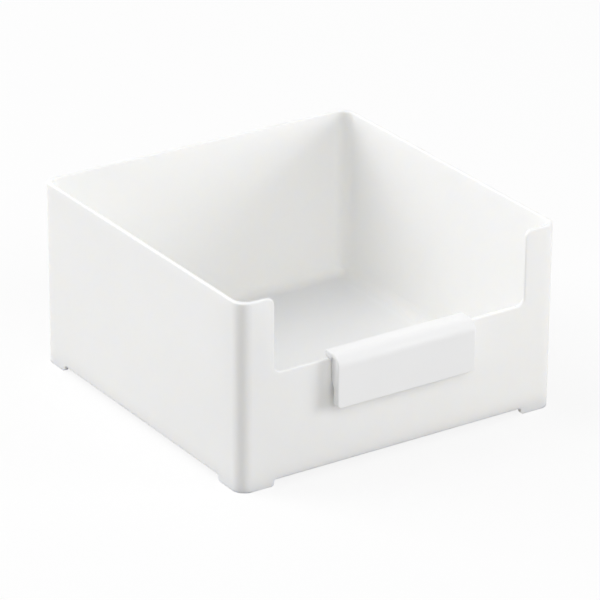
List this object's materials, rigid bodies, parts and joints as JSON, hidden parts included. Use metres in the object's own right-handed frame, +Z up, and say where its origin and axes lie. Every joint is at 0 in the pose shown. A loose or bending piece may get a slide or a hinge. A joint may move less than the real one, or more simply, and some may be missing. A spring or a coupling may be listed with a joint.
{
  "type": "drawer organizer tray",
  "caption": "Square open-topped organizer tray for parts and supplies, with a low scooped front edge, L-shaped corner feet and a clip-on pull over the front edge.",
  "frame": {"origin": "on the surface that the tray stands on, at the middle of the overall box, which takes in the pull", "axes": "+Z up; the scooped front with the pull faces -Y; +X is to the right when the front is looked at"},
  "size_m": [0.2, 0.2086, 0.107],
  "materials": {
    "tray_plastic": "white injection-moulded polypropylene, satin",
    "pull_plastic": "white injection-moulded polypropylene, satin"
  },
  "bodies": {
    "tray": {"tray_body": "tray_plastic"},
    "pull": {"front_pull": "pull_plastic"}
  },
  "joints": [
    {"name": "pull_lift", "type": "slide", "parent": "tray", "child": "pull", "axis": [0, 0, 1], "range_m": [0, 0.014]}
  ]
}
